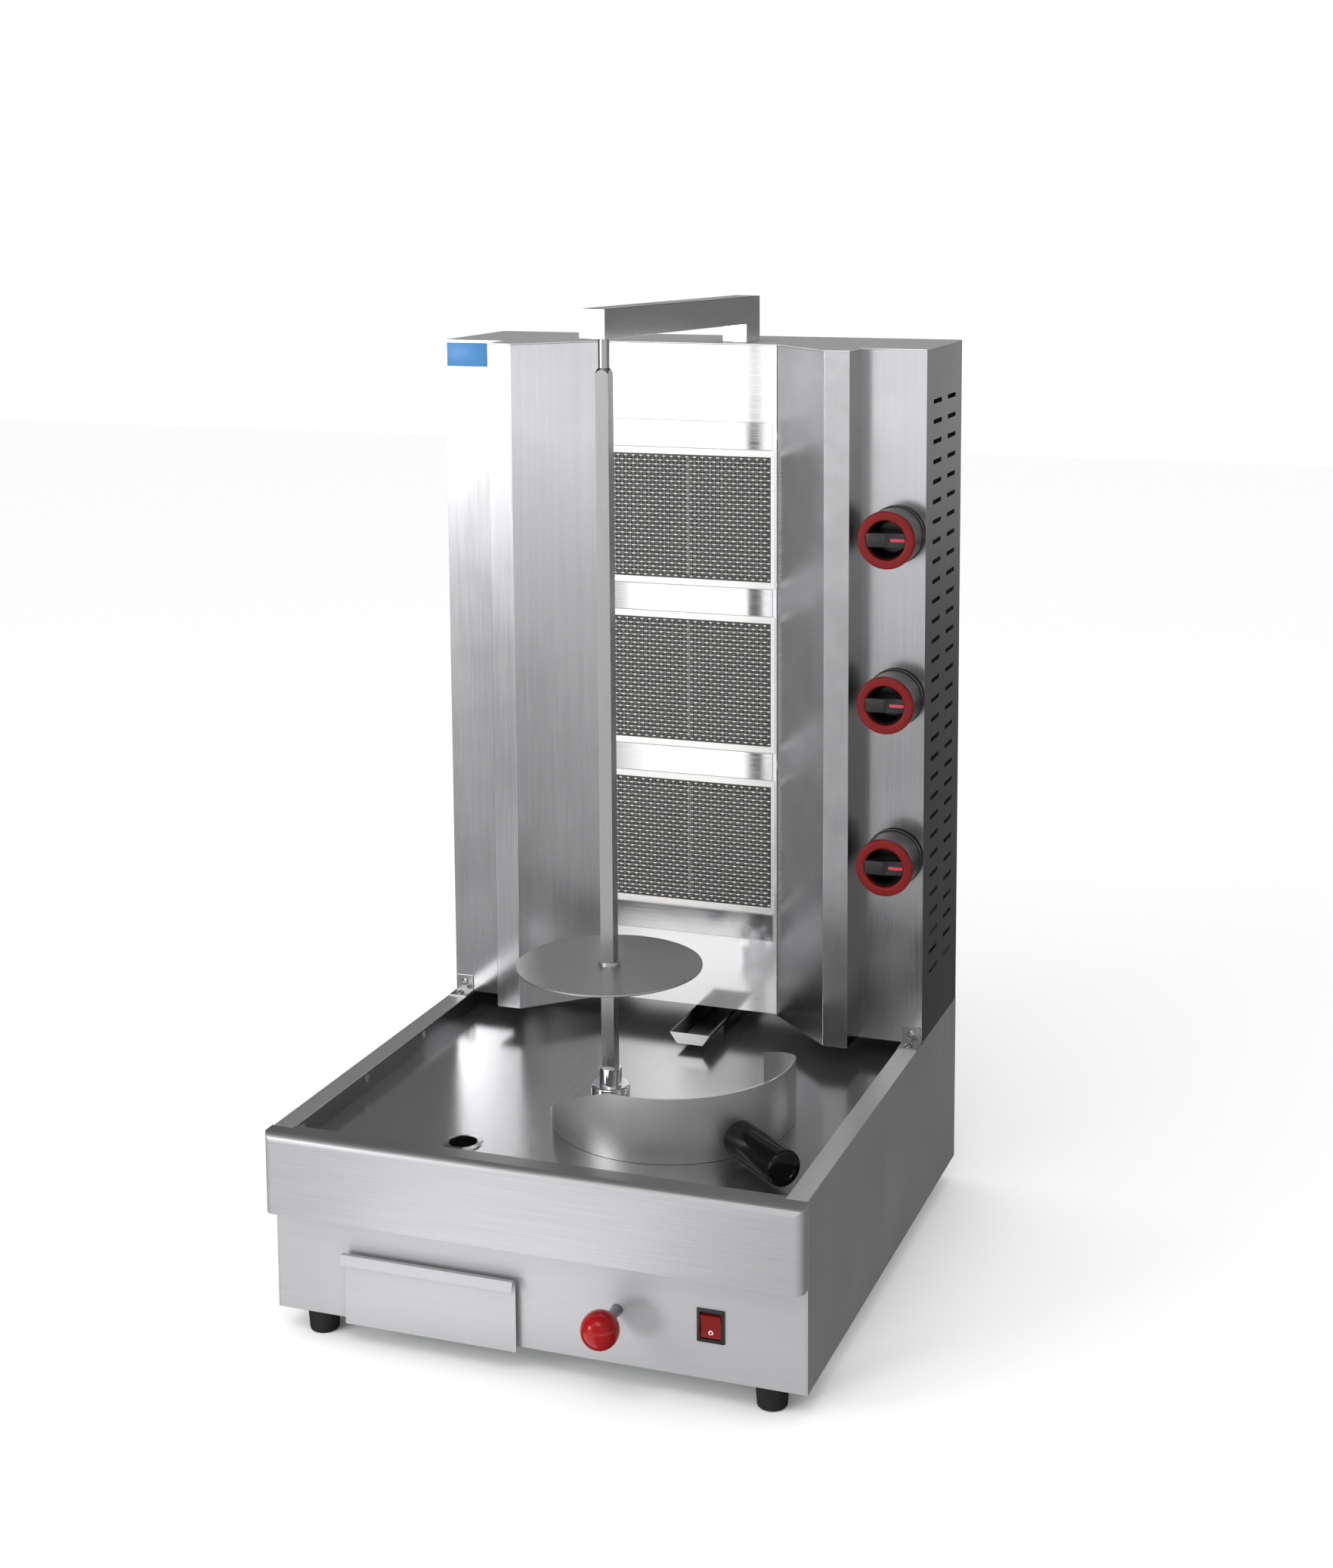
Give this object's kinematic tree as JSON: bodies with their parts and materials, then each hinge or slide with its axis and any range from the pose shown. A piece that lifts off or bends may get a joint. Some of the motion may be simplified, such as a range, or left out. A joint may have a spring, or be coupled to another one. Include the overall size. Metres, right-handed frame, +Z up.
{
  "type": "vertical rotisserie broiler",
  "caption": "Counter-top gas broiler with a vertical spit, a flared burner housing, a drip tray, a swinging top arm, a fat drawer and a meat scoop.",
  "frame": {"origin": "on the counter under the feet, in the middle of the whole footprint from the ball knob to the gas inlet", "axes": "+Z up, +Y to the rear, +X to the right seen from the front"},
  "size_m": [0.523, 0.6154, 0.956],
  "materials": {
    "stainless_panel": "brushed stainless sheet",
    "stainless_bright": "polished stainless sheet",
    "stainless_side": "satin stainless sheet",
    "galvanised": "zinc-plated sheet",
    "black_rubber": "moulded rubber",
    "burner_steel": "pressed stainless, slightly heat-tinted",
    "ceramic_tile": "fired ceramic plaque with fine holes",
    "burner_mesh": "woven heat-proof wire mesh",
    "brass": "turned brass",
    "black_plastic": "moulded thermoset plastic",
    "red_plastic": "moulded red plastic",
    "chrome": "chromium-plated steel",
    "motor_grey": "painted motor casing",
    "machined_steel": "turned and milled steel",
    "label_blue": "blank blue anodised plate"
  },
  "bodies": {
    "cabinet": {"side_panel_left": "stainless_side", "side_panel_right": "stainless_side", "front_panel": "stainless_panel", "base_rear_panel": "stainless_panel", "base_floor": "galvanised", "drip_tray": "stainless_panel", "front_apron": "stainless_bright", "drain_tube": "stainless_bright", "drawer_runners": "galvanised", "feet": "black_rubber", "wing_left": "stainless_panel", "wing_right": "stainless_panel", "rear_cover": "stainless_panel", "top_plate": "stainless_side", "reflector_left": "stainless_bright", "reflector_right": "stainless_bright", "back_reflector": "stainless_bright", "reflector_strips": "stainless_bright", "burner_body_upper": "burner_steel", "burner_body_middle": "burner_steel", "burner_body_lower": "burner_steel", "burner_tiles": "ceramic_tile", "burner_meshes": "burner_mesh", "gas_manifold": "brass", "gas_valves": "brass", "injectors": "brass", "switch_housing": "black_plastic", "carriage_guides": "galvanised", "bearing_housing": "galvanised", "spindle_bearings": "chrome", "arm_socket": "galvanised", "corner_brackets": "stainless_bright", "screws": "chrome", "label_plate": "label_blue", "rear_gutter": "stainless_side", "cable_gland": "black_plastic"},
    "knob_upper_body": {"knob_upper": "black_plastic", "knob_ring_upper": "red_plastic", "valve_stem_upper": "chrome"},
    "knob_middle_body": {"knob_middle": "black_plastic", "knob_ring_middle": "red_plastic", "valve_stem_middle": "chrome"},
    "knob_lower_body": {"knob_lower": "black_plastic", "knob_ring_lower": "red_plastic", "valve_stem_lower": "chrome"},
    "rocker_body": {"switch_rocker": "red_plastic"},
    "motor_slide": {"pull_rod": "chrome", "ball_knob": "red_plastic", "motor_carriage": "galvanised", "gear_motor": "motor_grey"},
    "pinion_body": {"motor_pinion": "machined_steel"},
    "spindle_body": {"spindle": "machined_steel", "drive_gear": "machined_steel"},
    "spit_body": {"spit_rod": "chrome", "meat_disc": "stainless_bright"},
    "arm_body": {"top_arm": "stainless_bright"},
    "scoop_body": {"scoop_pan": "stainless_bright", "scoop_handle": "black_plastic"},
    "drawer_body": {"drawer": "stainless_panel"}
  },
  "joints": [
    {"name": "knob_lower_turn", "type": "hinge", "parent": "cabinet", "child": "knob_lower_body", "pos_m": [0.231, 0.14375, 0.396], "axis": [0, -1, 0], "range_deg": [0, 180]},
    {"name": "knob_middle_turn", "type": "hinge", "parent": "cabinet", "child": "knob_middle_body", "pos_m": [0.231, 0.14375, 0.5605], "axis": [0, -1, 0], "range_deg": [0, 180]},
    {"name": "knob_upper_turn", "type": "hinge", "parent": "cabinet", "child": "knob_upper_body", "pos_m": [0.231, 0.14375, 0.725], "axis": [0, -1, 0], "range_deg": [0, 180]},
    {"name": "rocker_tip", "type": "hinge", "parent": "cabinet", "child": "rocker_body", "pos_m": [0.171, -0.24425, 0.075], "axis": [-1, 0, 0], "range_deg": [0, 16]},
    {"name": "motor_slide_pull", "type": "slide", "parent": "cabinet", "child": "motor_slide", "axis": [0, -1, 0], "range_m": [0, 0.01]},
    {"name": "spindle_turn", "type": "hinge", "parent": "cabinet", "child": "spindle_body", "pos_m": [0, -0.05645, 0.15], "axis": [0, 0, 1], "continuous": true},
    {"name": "pinion_turn", "type": "hinge", "parent": "motor_slide", "child": "pinion_body", "pos_m": [0, -0.13645, 0.118], "axis": [0, 0, 1], "continuous": true},
    {"name": "spit_lift", "type": "slide", "parent": "spindle_body", "child": "spit_body", "axis": [0, 0, 1], "range_m": [0, 0.012]},
    {"name": "arm_swing", "type": "hinge", "parent": "cabinet", "child": "arm_body", "pos_m": [0.05, 0.19775, 0.909], "axis": [0, 0, 1], "range_deg": [0, 80]},
    {"name": "scoop_lift", "type": "slide", "parent": "cabinet", "child": "scoop_body", "axis": [0, 0, 1], "range_m": [0, 0.06]},
    {"name": "drawer_pull", "type": "slide", "parent": "cabinet", "child": "drawer_body", "axis": [0, -1, 0], "range_m": [0, 0.15]}
  ],
  "couplings": [
    {"joint": "pinion_turn", "follows": "spindle_turn", "ratio": -3}
  ]
}
